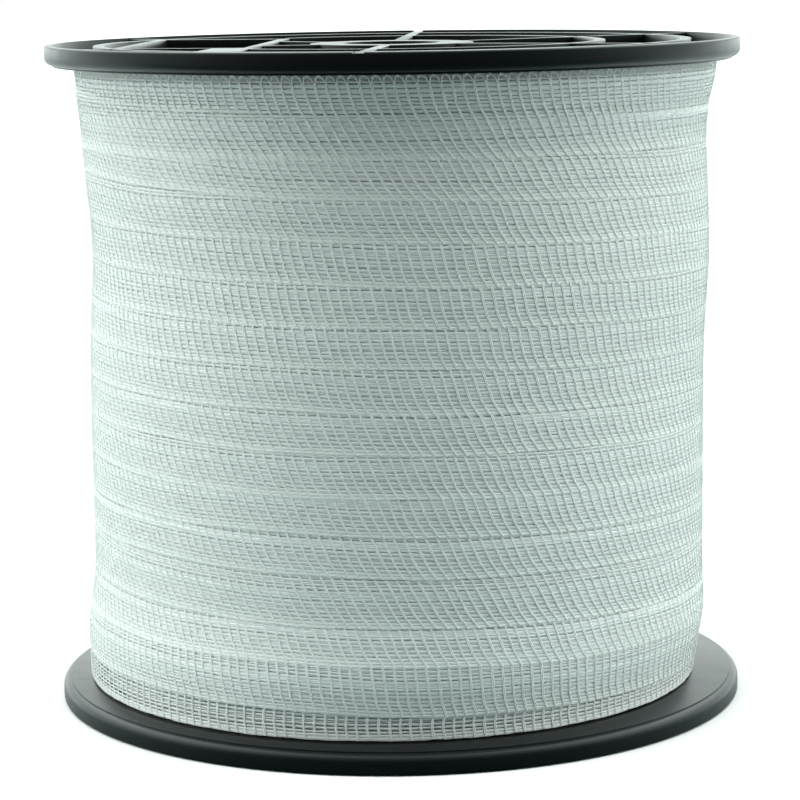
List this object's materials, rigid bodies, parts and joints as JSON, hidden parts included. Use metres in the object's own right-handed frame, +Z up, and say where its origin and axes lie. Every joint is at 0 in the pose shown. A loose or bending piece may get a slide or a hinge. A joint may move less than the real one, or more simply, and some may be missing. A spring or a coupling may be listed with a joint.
{
  "type": "fence tape spool",
  "caption": "White open-weave fence tape wound in half-lapped turns on a black plastic spool with ribbed round flanges and a centre bore for a spindle.",
  "frame": {"origin": "centre of the lower flange's rim plane, on which the spool stands", "axes": "+Z up along the spool's axis, -Y towards the viewer in the picture, +X to the viewer's right"},
  "size_m": [0.185, 0.185, 0.1762],
  "materials": {
    "spool_plastic": "satin moulded",
    "tape": "white open-weave monofilament"
  },
  "bodies": {
    "root": {"bottom_flange": "spool_plastic", "top_flange": "spool_plastic", "barrel": "spool_plastic", "tape_start": "tape", "tape_inner_layers": "tape", "tape_outer_layer": "tape"}
  },
  "joints": []
}
